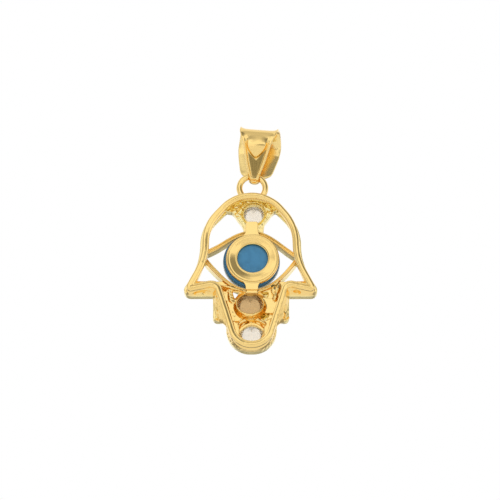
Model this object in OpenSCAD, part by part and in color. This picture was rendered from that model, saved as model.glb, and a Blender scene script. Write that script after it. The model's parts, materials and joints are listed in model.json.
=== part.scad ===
// Hamsa pendant: a pierced gold hand with a blue eye and three white stones,
// hanging by its loop from a folded bail.
// Millimetres. +Z is up. -Y is the back of the pendant and +Y its decorated front.
// The origin is the inside top of the bail, where the chain bears.

/* [Bail] */
// Outer depth of the bail's fold, front to back
bail_depth = 3.4; // [2.8:0.1:4.2]
// Thickness of the bail's sheet
bail_wall = 0.3; // [0.24:0.02:0.4]
// Distance from the chain's seat down to the wire of the loop
bail_drop = 4.8; // [4.2:0.1:6]
// Width of the bail over its fold
bail_w = 4.1; // [3.4:0.1:5]
// Width of the front leg where it is widest
front_leg_w = 4.5; // [3.8:0.1:5.2]
// Width of the tongue that passes through the loop
tongue_w = 0.96; // [0.7:0.02:1.1]
// Width of the shield-shaped pad on the back leg
pad_w = 1.96; // [1.4:0.02:2.2]
// Height of the shield-shaped pad
pad_h = 2.3; // [1.8:0.1:2.6]
// How far the pad stands out
pad_relief = 0.22; // [0.1:0.02:0.4]
// Width of the raised rims along the back leg
rim_w = 0.26; // [0.18:0.02:0.34]
// Depth of the channel between the rims
channel_depth = 0.1; // [0.06:0.02:0.16]
// Angle by which the bail leans to its right on the loop
bail_lean = 6.4; // [0:0.2:8]
// Angle by which the bail is turned on the loop
bail_turn = 4; // [0:0.5:6]
// How far the bail has slid along the loop
bail_slide = 0.2; // [0:0.05:0.3]

/* [Loop] */
// Diameter of the loop on top of the hand, measured to the middle of its wire
loop_d = 2.75; // [2.6:0.05:3.2]
// Diameter of the loop's wire
loop_wire = 0.65; // [0.5:0.01:0.7]
// Clearance between the loop's wire and the bail
loop_play = 0.1; // [0.08:0.01:0.2]
// Depth of the loop's middle in front of the rail's back, over the hand's centre of mass
loop_y = 1.49; // [1.3:0.01:1.6]

/* [Back rail] */
// Height of the rail's crown above the middle of the eye
crown_h = 7.18; // [6.8:0.05:7.8]
// Width of the dome, rail middle to rail middle
dome_w = 9.34; // [9:0.02:10]
// Width over the two thumb tips, rail middle to rail middle
thumb_w = 12.8; // [12.4:0.1:13.6]
// Depth of the thumb tips below the middle of the eye
thumb_drop = 3.3; // [3.1:0.05:3.6]
// Width between the two notches beside the fingers
notch_w = 7.3; // [7:0.1:7.8]
// Depth of the notches below the middle of the eye
notch_drop = 2.7; // [2.5:0.05:2.9]
// Depth of the rail's lowest point below the middle of the eye
finger_drop = 9.53; // [9.2:0.05:10]
// Width of the rail
rail_w = 0.7; // [0.6:0.02:0.8]
// Thickness of the rail, front to back
rail_t = 0.6; // [0.5:0.05:0.8]
// Thickness of the side wall
wall_t = 0.31; // [0.25:0.01:0.4]

/* [Front] */
// Thickness of the whole hand, from the rail's back to the front plate's face
hand_t = 2.5; // [2.3:0.05:3]
// Thickness of the front border
border_t = 0.45; // [0.35:0.05:0.6]
// Thickness of the fan and of the skirt round the border
skirt_depth = 1; // [0.7:0.05:1.2]
// Width of the skirt
skirt_w = 0.35; // [0.25:0.05:0.45]
// Thickness of the palm
palm_t = 0.7; // [0.5:0.05:1]
// How far the front border stands outside the rail's middle
front_reach = 0.58; // [0.4:0.01:0.7]
// Width across the two index fingers
index_w = 7.9; // [7.5:0.1:8.4]
// How far the thumbs' undersides lie below the rail's tips
thumb_t = 0.42; // [0.3:0.02:0.6]
// Depth of the index fingertips below the middle of the eye
index_drop = 6.55; // [6.2:0.05:7]
// Width of the middle finger
middle_w = 5.2; // [5:0.1:5.6]

/* [Eye] */
// Diameter of the blue cabochon
eye_d = 6; // [5.6:0.1:6.1]
// Thickness of the cabochon's straight edge
eye_edge = 0.9; // [0.6:0.1:1.2]
// Height of the cabochon's dome above its edge
eye_dome = 1.25; // [0.9:0.05:1.5]
// Outer diameter of the washer behind the cabochon
washer_d = 5.6; // [5.2:0.1:5.8]
// Diameter of the washer's hole
washer_hole = 3.2; // [2.8:0.1:3.6]
// Thickness of the washer
washer_t = 0.5; // [0.4:0.05:0.6]
// Width of the strap that carries the washer
strap_w = 1.3; // [1:0.02:1.5]
// Thickness of the strap
strap_t = 0.4; // [0.3:0.05:0.45]
// Thickness of the eyelids
lid_t = 0.42; // [0.34:0.02:0.46]
// Depth of the eyelids' ribbons, front to back
lid_depth = 1.5; // [1.2:0.05:1.7]
// Opening between the cabochon and the upper eyelid
lid_open = 0.1; // [0.08:0.02:0.3]

/* [Stones] */
// Diameter of the top stone
top_stone_d = 2.4; // [2.3:0.1:2.5]
// Diameter of the hole behind the top stone
top_hole_d = 2.08; // [1.8:0.02:2.1]
// How far the top stone lies to the right of the middle line
top_shift = 0.25; // [0:0.05:0.3]
// Diameter of the middle stone
middle_stone_d = 2.9; // [2.8:0.1:3]
// Diameter of the hole behind the middle stone
middle_hole_d = 2.58; // [2.3:0.02:2.6]
// How far the middle stone lies to the right of the middle line
middle_shift = -0.15; // [-0.2:0.05:0]
// Diameter of the bottom stone
bottom_stone_d = 2.6; // [2.5:0.1:2.8]
// Diameter of the hole behind the bottom stone
bottom_hole_d = 2.26; // [2.1:0.02:2.3]
// Thickness of the collars round the stones
collar_t = 0.28; // [0.22:0.02:0.34]
// Gap between a stone or the cabochon and its seat
stone_gap = 0.03; // [0.02:0.01:0.05]

/* [Hidden] */
$fn = 64;
gold = [0.95, 0.79, 0.42];
cut = 0.5;
far = 20;

// The bail's fold and the cradle under the loop's wire
fold_r = bail_depth/2;
fold_in_r = fold_r - bail_wall;
wire_r = loop_wire/2;
loop_r = loop_d/2;
// The furthest point of the loop's wire that the tongue reaches, and how far the wire falls away there
tongue_reach = tongue_w/2 + bail_slide;
wire_sag = loop_r - sqrt(loop_r*loop_r - tongue_reach*tongue_reach);
cradle_r = wire_r + wire_sag + loop_play;

// Where the bail's own hinge point comes to lie once it is turned and leant
hinge_x = -bail_drop*sin(bail_lean);
hinge_z = -bail_drop*cos(bail_lean);

// The hand's own frame has the rail's back at y = 0 and the middle of the eye at x = 0 and z = 0
loop_z = crown_h + rail_w/2 + loop_r - wire_r;
hand_at = [hinge_x - bail_slide, -loop_y, hinge_z - loop_z - loop_r];
face_y = hand_t;
back_y = face_y - skirt_depth;
palm_y = face_y - palm_t;
lid_y = face_y - lid_depth;
washer_y = 0.15;
eye_y = washer_y + washer_t + stone_gap;

// Places of the stones across and up, and of the collars' rims in depth
top_at = [top_shift, crown_h - rail_w/2 - top_stone_d/2 - 0.05];
middle_at = [middle_shift, -eye_d/2 - middle_stone_d/2 - 0.22];
bottom_at = [0, -finger_drop + rail_w/2 + bottom_stone_d/2 + 0.05];
middle_rim_y = 0.8;
bottom_rim_y = 1.3;

// Cut of the stones
pavilion_angle = 41;
crown_angle = 34;
girdle_share = 0.04;
table_share = 0.56;

// The eyelids' ends inside the side wall, the heights of their middles, and how far the upper one's
// shoulders are drawn in
lid_end = [dome_w/2 + 0.1, 0.85];
low_end = [dome_w/2 + 0.1, 0.45];
upper_mid = eye_d/2 + lid_open + lid_t/2;
lower_mid = -eye_d/2 - stone_gap*2 - lid_t/2;
lid_slump = 0.55;
// Half widths of the fan at the arch and at its neck, and how far its sides hollow up towards the arch
fan_half = 2.85;
neck_half = 1.06;
fan_hollow = 0.74;
// Level of the thumbs' upper edge
thumb_top = -2.05;

// Outline of the rail's right half from the crown down: x, z, fillet radius, steps of its arc
RX = 0;
RZ = 1;
RR = 2;
RN = 3;
rail_half = [
    [0.4*dome_w/2, crown_h, 0.9*dome_w/2, 7],
    [dome_w/2, 0.525*crown_h, 1.2*dome_w/2, 6],
    [dome_w/2, 0.014*crown_h, 1.6*dome_w/2, 4],
    [thumb_w/2, -thumb_drop, 0.12, 3],
    [notch_w/2, -notch_drop, 0.7, 5],
    [0.166*finger_drop, -finger_drop, 0.222*finger_drop, 7]];

// The same for the front's outer edge, which steps out round the index fingers
dome_front = dome_w/2 + front_reach;
front_half = [
    [0.4*dome_front, crown_h + rail_w/2, 0.9*dome_front, 7],
    [dome_front, 0.56*crown_h, 1.1*dome_w/2, 6],
    [dome_front, 0.014*crown_h, 1.6*dome_w/2, 4],
    [thumb_w/2 + 1.3*front_reach, -thumb_drop - thumb_t, 0.5, 6],
    [index_w/2, -thumb_drop - thumb_t, 0.12, 3],
    [index_w/2, -index_drop, 0.45, 5],
    [middle_w/2 + 0.03, -index_drop + 0.1, 0.12, 3],
    [middle_w/2, -finger_drop - rail_w/2 - 0.05, middle_w/2 - 0.12, 9]];

// Legs of the bail as seen from behind: height as a share of bail_drop, half width as a share
LEG_Z = 0;
LEG_W = 1;
back_leg = [[0.12, 1], [-0.08, 0.95], [-0.24, 0.79], [-0.34, 0.72], [-0.58, 0.585],
    [-0.75, 0.49], [-0.96, 0.34], [-1.1, tongue_w/bail_w], [-1.3, tongue_w/bail_w]];
front_leg = [[0.12, bail_w/front_leg_w], [-0.08, 0.98], [-0.2, 1], [-0.4, 0.95], [-0.6, 0.86],
    [-0.8, 0.74], [-0.9, 0.58], [-0.965, 0.27], [-1.03, tongue_w/front_leg_w],
    [-1.3, tongue_w/front_leg_w]];

function unit(v) = v/norm(v);
function flat(p) = [p[RX], p[RZ]];
function turned(v) = [v[1], -v[0]];

// A closed outline's vertices from its right half: that half, then its mirror image upwards
function both_halves(half) = concat(
    half,
    [for (i = [len(half) - 1:-1:0]) [-half[i][RX], half[i][RZ], half[i][RR], half[i][RN]]]);

// The vertices moved outwards by d with mitred corners, and their fillets opened or closed to match
function moved(v, d) = [for (i = [0:len(v) - 1])
    let (
        n = len(v),
        a = unit(flat(v[i]) - flat(v[(i + n - 1) % n])),
        b = unit(flat(v[(i + 1) % n]) - flat(v[i])),
        bend = a[0]*b[1] - a[1]*b[0],
        m = -(turned(a) + turned(b))/(1 + a*b),
        r = v[i][RR] + (bend < 0 ? d : -d))
    [v[i][RX] + m[0]*d, v[i][RZ] + m[1]*d, max(r, 0.03), v[i][RN]]];

// The share of a side that a fillet of radius r may take beside a neighbour's of radius other
function side_share(r, other) = 0.998*r/(r + other + 0.01);

// The points of the arc that rounds the vertex v between the vertices u and w
function corner(u, v, w) =
    let (
        q = flat(v),
        a = unit(flat(u) - q),
        b = unit(flat(w) - q),
        steps = v[RN],
        half_angle = acos(max(-1, min(1, a*b)))/2,
        reach = min(v[RR]/tan(half_angle), side_share(v[RR], u[RR])*norm(flat(u) - q),
            side_share(v[RR], w[RR])*norm(flat(w) - q)),
        radius = reach*tan(half_angle),
        c = q + unit(a + b)*radius/sin(half_angle),
        from = q + a*reach - c,
        to = q + b*reach - c,
        start = atan2(from[1], from[0]),
        sweep0 = atan2(to[1], to[0]) - start,
        sweep = sweep0 > 180 ? sweep0 - 360 : sweep0 < -180 ? sweep0 + 360 : sweep0)
    [for (k = [0:steps]) c + radius*[cos(start + sweep*k/steps), sin(start + sweep*k/steps)]];

// The points of a closed outline, moved outwards by d
function outline(half, d) =
    let (v = moved(both_halves(half), d), n = len(v))
    [for (i = [0:n - 1]) each corner(v[(i + n - 1) % n], v[i], v[(i + 1) % n])];

// Points of the arch-shaped curve from [-end x, end z] over [0, middle] to [end x, end z], moved sideways
// by d; slump draws its shoulders in
function arch(end, middle, d, slump = 0, steps = 14) = [for (k = [0:steps])
    let (
        u = 2*k/steps - 1,
        rise = middle - end[1],
        at = [u*end[0], middle - rise*u*u*(1 + slump*(1 - u*u))],
        along = unit([end[0], -2*rise*u*(1 + slump - 2*slump*u*u)]))
    at - d*turned(along)];

function backwards(p) = [for (i = [len(p) - 1:-1:0]) p[i]];

// A flat shape drawn in x and z, made solid from depth y0 to depth y1
module slab(y0, y1) {
    translate([0, y1, 0]) rotate([90, 0, 0]) linear_extrude(y1 - y0) children();
}

// A profile of radius and depth turned about the y direction at a place across and up
module turned_at(at) {
    translate([at[0], 0, at[1]]) rotate([-90, 0, 0]) rotate_extrude() children();
}

// Side view of the bail's folded strip, as the band's outer face moved inwards by d
module fold_shape(d) {
    top_r = fold_r - d;
    low_r = cradle_r + bail_wall - d;
    lean = asin((top_r - low_r)/(bail_drop - fold_in_r));
    polygon(concat(
        [for (k = [0:16]) let (t = -lean + (180 + 2*lean)*k/16)
            [top_r*cos(t), -fold_in_r + top_r*sin(t)]],
        [for (k = [0:10]) let (t = 180 + lean + (180 - 2*lean)*k/10)
            [low_r*cos(t), -bail_drop + low_r*sin(t)]]));
}

// The side view extended across the whole width of the bail
module fold_block(d) {
    translate([-far/2, 0, 0]) rotate([90, 0, 90]) linear_extrude(far) fold_shape(d);
}

// Back view of a leg, narrowed on both sides by d and cut off below the height low
module leg_shape(leg, w, d, low) {
    rows = [for (p = leg) if (p[LEG_Z] >= low) p];
    polygon(concat(
        [for (p = rows) [p[LEG_W]*w/2 - d, p[LEG_Z]*bail_drop]],
        [for (p = backwards(rows)) [-p[LEG_W]*w/2 + d, p[LEG_Z]*bail_drop]]));
}

// Shield with a flat top and a blunt point, its top edge at height z
module shield(w, h, z) {
    polygon([[-0.42*w, z], [0.42*w, z], [0.5*w, z - 0.12*h], [0.5*w, z - 0.42*h], [0.34*w, z - 0.7*h],
        [0.06*w, z - h], [-0.06*w, z - h], [-0.34*w, z - 0.7*h], [-0.5*w, z - 0.42*h],
        [-0.5*w, z - 0.12*h]]);
}

module bail_strip() {
    difference() {
        fold_block(0);
        fold_block(bail_wall);
        // Beside the two legs
        difference() {
            slab(-far, far) square([far, 3*bail_drop], center = true);
            slab(-far - 1, 0) leg_shape(back_leg, bail_w, 0, -2);
            slab(0, far + 1) leg_shape(front_leg, front_leg_w, 0, -2);
        }
        // The channel between the back leg's rims
        difference() {
            slab(-far/2, 0) leg_shape(back_leg, bail_w, rim_w, -1);
            fold_block(channel_depth);
        }
    }
}

module bail_pad() {
    intersection() {
        difference() {
            fold_block(-pad_relief);
            fold_block(bail_wall/2);
        }
        slab(-far/2, 0) shield(pad_w, pad_h, -0.16*bail_drop);
    }
}

module bail() {
    color(gold)
        translate([0, 0, hinge_z]) translate([hinge_x, 0, 0])
            rotate([0, bail_lean, -bail_turn]) translate([0, 0, bail_drop]) {
                bail_strip();
                bail_pad();
            }
}

// The band between two distances outside an outline
module ring(half, outer, inner, y0, y1) {
    difference() {
        slab(y0, y1) polygon(outline(half, outer));
        slab(y0 - cut, y1 + cut) polygon(outline(half, inner));
    }
}

// The rail at the back, its outer and inner edges stepped in towards its crest
module rail() {
    ring(rail_half, rail_w/2, -rail_w/2, 0.14, rail_t);
    ring(rail_half, rail_w/2 - 0.12, -rail_w/2 + 0.12, 0, 0.3);
}

// The wall between the rail and the front border
module side_wall() {
    ring(rail_half, rail_w/2 - 0.05, rail_w/2 - 0.05 - wall_t, rail_t/2, face_y - border_t/2);
}

module front_border() {
    difference() {
        slab(face_y - border_t, face_y) polygon(outline(front_half, 0));
        slab(0, far) polygon(outline(rail_half, rail_w/2 - 0.07 - wall_t));
    }
    ring(front_half, 0, -skirt_w, back_y, face_y - border_t/2);
}

// Palm and thumbs, below the lower eyelid
module palm() {
    lid = arch(low_end, lower_mid, 0);
    level = [for (p = lid) if (p[1] < thumb_top) p];
    intersection() {
        slab(palm_y, face_y - 0.02) polygon(outline(rail_half, rail_w/2 - wall_t/2));
        slab(palm_y - cut, face_y + cut) polygon(concat(
            [[-thumb_w, thumb_top]], level, [[thumb_w, thumb_top]],
            [[thumb_w, -far], [-thumb_w, -far]]));
    }
}

// The fan between the arch and the upper eyelid, with hollow sides
module fan() {
    top = [fan_half, 0.85*crown_h];
    low = [neck_half, upper_mid];
    pull = [1.14*neck_half, fan_hollow*crown_h];
    side = [for (k = [0:7]) let (t = k/7) (1 - t)*(1 - t)*top + 2*t*(1 - t)*pull + t*t*low];
    intersection() {
        slab(back_y, face_y - 0.02) polygon(outline(rail_half, rail_w/2 - wall_t/2));
        slab(back_y - cut, face_y + cut) polygon(concat(
            [[top[0], crown_h + rail_w]], side,
            [for (p = backwards(side)) [-p[0], p[1]]], [[-top[0], crown_h + rail_w]]));
    }
}

module eyelid(end, middle, slump) {
    slab(lid_y, face_y - 0.01)
        polygon(concat(arch(end, middle, lid_t/2, slump), backwards(arch(end, middle, -lid_t/2, slump))));
}

// The dished washer that carries the cabochon, with a rim round its edge and a lip round its hole
module washer() {
    r = washer_d/2;
    h = washer_hole/2;
    front = washer_y + washer_t;
    turned_at([0, 0]) polygon([[h, front], [h, washer_y + 0.12], [h + 0.16, washer_y + 0.06],
        [h + 0.3, washer_y + 0.14], [r - 0.45, washer_y + 0.16], [r - 0.22, washer_y],
        [r - 0.08, washer_y], [r, washer_y + 0.1], [r, front]]);
}

// The upright strap with its upper post to the fan and its lower post to the middle collar
module strap() {
    r = (washer_d + washer_hole)/4;
    foot = middle_at[1] + middle_stone_d/2;
    slab(washer_y + 0.05, washer_y + strap_t)
        polygon([[-strap_w/2, r], [strap_w/2, r], [strap_w/2, top_at[1] - 1.42], [-strap_w/2, top_at[1] - 1.42]]);
    slab(washer_y + strap_t/2, back_y + 0.3)
        translate([-strap_w/2, top_at[1] - 1.8]) square([strap_w, 0.36]);
    slab(washer_y + 0.05, washer_y + strap_t)
        translate([-strap_w/2, foot]) square([strap_w, -r - foot]);
    slab(washer_y + strap_t/2, palm_y + 0.2)
        translate([-strap_w/2 + 0.1, foot - 0.2]) square([strap_w - 0.2, 0.34]);
}

// The tube round a stone's hole, from its rim at the back to the front face
module collar(at, hole_d, rim_y) {
    turned_at(at) translate([0, rim_y]) square([hole_d/2 + collar_t, face_y - rim_y]);
}

// The room for a stone: its hole from behind, a bearing cone, the girdle's groove and a lip in front
module seat(at, stone_d, hole_d) {
    r = stone_d/2 + stone_gap;
    h = hole_d/2;
    lip = 0.1;
    girdle_y = stone_y(stone_d);
    top_y = girdle_y + girdle_share*stone_d + stone_gap;
    turned_at(at) polygon([[0, -cut], [h, -cut], [h, girdle_y - (r - h)*tan(pavilion_angle)],
        [r, girdle_y], [r, top_y], [r - lip, top_y + lip*tan(crown_angle)], [r - lip, face_y + cut],
        [0, face_y + cut]]);
}

// Depth at which a stone's pavilion meets its girdle
function stone_y(d) = face_y - 0.12 - girdle_share*d;

module loop() {
    difference() {
        translate([0, loop_y, loop_z]) rotate([90, 0, 0]) rotate_extrude()
            translate([loop_r, 0]) circle(d = loop_wire, $fn = 32);
        translate([-far/2, 0, -far]) cube([far, far, far + crown_h]);
    }
}

module hand() {
    color(gold) translate(hand_at) {
        difference() {
            union() {
                rail();
                side_wall();
                front_border();
                palm();
                fan();
                eyelid(lid_end, upper_mid, lid_slump);
                eyelid(low_end, lower_mid, 0);
                collar(top_at, top_hole_d, back_y - 0.1);
                collar(middle_at, middle_hole_d, middle_rim_y);
                collar(middle_at, middle_stone_d - 0.1, palm_y - 0.1);
                collar(bottom_at, bottom_hole_d, bottom_rim_y);
                strap();
            }
            seat(top_at, top_stone_d, top_hole_d);
            seat(middle_at, middle_stone_d, middle_hole_d);
            seat(bottom_at, bottom_stone_d, bottom_hole_d);
            turned_at([0, 0]) translate([0, eye_y - stone_gap/2])
                square([eye_d/2 + stone_gap, far]);
        }
        washer();
        loop();
    }
}

module eye_cabochon() {
    dome_r = (eye_d*eye_d/4 + eye_dome*eye_dome)/(2*eye_dome);
    color([0.16, 0.42, 0.66]) translate(hand_at) rotate([-90, 0, 0]) intersection() {
        translate([0, 0, eye_y]) cylinder(d = eye_d, h = eye_edge + eye_dome + cut);
        translate([0, 0, eye_y + eye_edge + eye_dome - dome_r]) sphere(r = dome_r, $fn = 96);
    }
}

// A round brilliant: table, crown, girdle and pavilion, its culet towards the back
module stone(at, d) {
    crown = (1 - table_share)*d/2*tan(crown_angle);
    pavilion = d/2*tan(pavilion_angle)*cos(180/16);
    color([0.94, 0.93, 0.92]) translate(hand_at + [at[0], stone_y(d), at[1]]) rotate([-90, 0, 0]) hull() {
        cylinder(d = d, h = girdle_share*d, $fn = 16);
        translate([0, 0, girdle_share*d]) rotate(22.5)
            cylinder(d = table_share*d, h = crown - 0.001, $fn = 8);
        translate([0, 0, -pavilion]) cylinder(d = 0.03*d, h = 0.01, $fn = 8);
    }
}

module top_stone() { stone(top_at, top_stone_d); }
module middle_stone() { stone(middle_at, middle_stone_d); }
module bottom_stone() { stone(bottom_at, bottom_stone_d); }

bail();
hand();
eye_cabochon();
top_stone();
middle_stone();
bottom_stone();
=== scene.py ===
# Small gold hamsa pendant, hung up and seen from behind: cast hand, blue glass eye, cut stones, bail
import json, math
import bmesh
import bpy
import numpy as np
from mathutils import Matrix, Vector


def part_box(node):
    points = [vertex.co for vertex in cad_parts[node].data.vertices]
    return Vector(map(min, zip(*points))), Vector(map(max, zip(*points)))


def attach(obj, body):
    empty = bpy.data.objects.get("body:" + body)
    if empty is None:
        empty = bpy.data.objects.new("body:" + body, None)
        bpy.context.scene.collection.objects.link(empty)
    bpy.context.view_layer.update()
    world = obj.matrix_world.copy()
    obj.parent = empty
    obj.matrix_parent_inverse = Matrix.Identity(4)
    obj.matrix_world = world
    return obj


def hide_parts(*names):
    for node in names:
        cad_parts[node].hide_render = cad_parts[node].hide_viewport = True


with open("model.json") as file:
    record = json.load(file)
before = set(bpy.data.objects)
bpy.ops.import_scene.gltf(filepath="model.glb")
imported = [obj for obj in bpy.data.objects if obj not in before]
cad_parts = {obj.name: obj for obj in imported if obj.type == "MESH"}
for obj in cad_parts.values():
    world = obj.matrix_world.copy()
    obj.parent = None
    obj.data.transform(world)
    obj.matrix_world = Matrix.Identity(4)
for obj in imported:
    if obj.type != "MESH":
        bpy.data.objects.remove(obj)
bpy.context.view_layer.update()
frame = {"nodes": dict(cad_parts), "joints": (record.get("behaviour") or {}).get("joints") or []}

mm = 0.001
print("frame loaded:", ", ".join(sorted(frame["nodes"])))


# Places read from the frame. The hand is drawn in its own millimetres: x from the middle of the eye,
# y from the rail's back towards the front, z from the middle of the eye.
eyeLow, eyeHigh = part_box("eye_cabochon")
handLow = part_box("hand")[0]
handPlace = np.array([(eyeLow.x + eyeHigh.x)/2, handLow.y, (eyeLow.z + eyeHigh.z)/2])
hinge = np.array(frame["joints"][0]["pos_m"])
handThick = 2.5  # from the rail's back to the face of the front plate


def unit(v):
    return v/np.linalg.norm(v, axis=-1, keepdims=True)


# The camera stands behind the pendant and below it, with a long lens
view = {"elevation": -22, "away": 0.30, "frameHeight": 52.5, "right": -0.155, "up": 0.94,
        "floorBelow": 0.16, "floorRadius": 4.0}


def makeCamera():
    t = math.radians(view["elevation"])
    back = np.array([0, -math.cos(t), math.sin(t)])
    up = np.array([0, math.sin(t), math.cos(t)])
    target = handPlace + mm*(up*view["up"] + np.array([view["right"], 0.3, 0]))
    data = bpy.data.cameras.new("camera")
    data.sensor_width = 36
    data.lens = data.sensor_width*view["away"]/(view["frameHeight"]*mm)
    data.clip_start, data.clip_end = 0.01, 20
    camera = bpy.data.objects.new("camera", data)
    camera.location = target + back*view["away"]
    camera.rotation_euler = (math.radians(90 - view["elevation"]), 0, 0)
    bpy.context.scene.collection.objects.link(camera)
    bpy.context.scene.camera = camera


makeCamera()
print("camera set")


# Outlines: vertices of a right half as x, z, fillet radius and steps, mirrored and then rounded
hand = {"crown": 7.18, "dome": 9.34, "thumb": 12.8, "thumbDrop": 3.3, "notch": 7.3, "notchDrop": 2.7,
        "finger": 9.53, "railW": 0.7, "reach": 0.58, "thumbT": 0.42, "index": 7.9, "indexDrop": 6.55,
        "middle": 5.2, "leftward": 0.17, "arcSteps": 4}


def railHalf():
    h = hand
    d, f = h["dome"]/2, h["finger"]
    return np.array([[0.4*d, h["crown"], 0.9*d, 7], [d, 0.525*h["crown"], 1.2*d, 6],
                     [d, 0.014*h["crown"], 1.6*d, 4], [h["thumb"]/2, -h["thumbDrop"], 0.12, 3],
                     [h["notch"]/2, -h["notchDrop"], 0.7, 5], [0.166*f, -f, 0.222*f, 7]])


def frontHalf():
    h = hand
    d, dome = h["dome"]/2, h["dome"]/2 + h["reach"]
    under, half = -h["thumbDrop"] - h["thumbT"], h["middle"]/2
    return np.array([[0.4*dome, h["crown"] + h["railW"]/2, 0.9*dome, 7], [dome, 0.56*h["crown"], 1.1*d, 6],
                     [dome, 0.014*h["crown"], 1.6*d, 4], [h["thumb"]/2 + 1.75*h["reach"], under, 0.7, 8],
                     [h["index"]/2, under, 0.12, 3], [h["index"]/2, -h["indexDrop"], 0.45, 5],
                     [half + 0.03, -h["indexDrop"] + 0.1, 0.12, 3],
                     [half, -h["finger"] - h["railW"]/2 - 0.05, half - 0.12, 9]])


def outline(half, d=0.0):
    # Each vertex moves along its mitre by d, then an arc between two reaches rounds it. A side too short
    # for both its arcs is shared out by what each of them wants.
    v = np.concatenate([half, (half*[-1, 1, 1, 1])[::-1]])
    p = v[:, :2]
    a, b = unit(p - np.roll(p, 1, 0)), unit(np.roll(p, -1, 0) - p)
    bend = a[:, 0]*b[:, 1] - a[:, 1]*b[:, 0]
    turned = lambda q: np.stack([q[:, 1], -q[:, 0]], 1)
    mitre = -(turned(a) + turned(b))/(1 + np.sum(a*b, 1))[:, None]
    p = p + mitre*d
    radius = np.maximum(v[:, 2] + np.where(bend < 0, d, -d), 0.03)
    halfAngle = np.arccos(np.clip(-np.sum(a*b, 1), -1, 1))/2
    wish = radius/np.tan(halfAngle)
    side = np.linalg.norm(np.roll(p, -1, 0) - p, axis=1)
    share = np.minimum(1, 0.998*side/(wish + np.roll(wish, -1)))
    reach = wish*np.minimum(share, np.roll(share, 1))
    radius = reach*np.tan(halfAngle)
    centre = p + unit(b - a)*(radius/np.sin(halfAngle))[:, None]
    start, end = p - a*reach[:, None] - centre, p + b*reach[:, None] - centre
    first = np.arctan2(start[:, 1], start[:, 0])
    sweep = (np.arctan2(end[:, 1], end[:, 0]) - first + np.pi) % (2*np.pi) - np.pi
    rows = []
    for i in range(len(v)):
        t = first[i] + sweep[i]*np.linspace(0, 1, int(v[i, 3])*hand["arcSteps"] + 1)
        rows.append(centre[i] + radius[i]*np.stack([np.cos(t), np.sin(t)], 1))
    return np.concatenate(rows)


def arch(lid, d, steps=60):
    # The curve of an eyelid, moved sideways by d. From its middle it bends to the ends with the square of
    # the way there, sooner by its slump, and the bend goes evenly from the left end's to the right end's.
    u = np.linspace(-1, 1, steps)
    bend = lid["middle"] - (lid["left"] + (lid["right"] - lid["left"])*(u + 1)/2)
    at = np.stack([lid["width"]*u, lid["middle"] - bend*u*u*(1 + lid["slump"]*(1 - u*u))], 1)
    along = unit(np.gradient(at, axis=0))
    return at - d*np.stack([along[:, 1], -along[:, 0]], 1)


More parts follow.
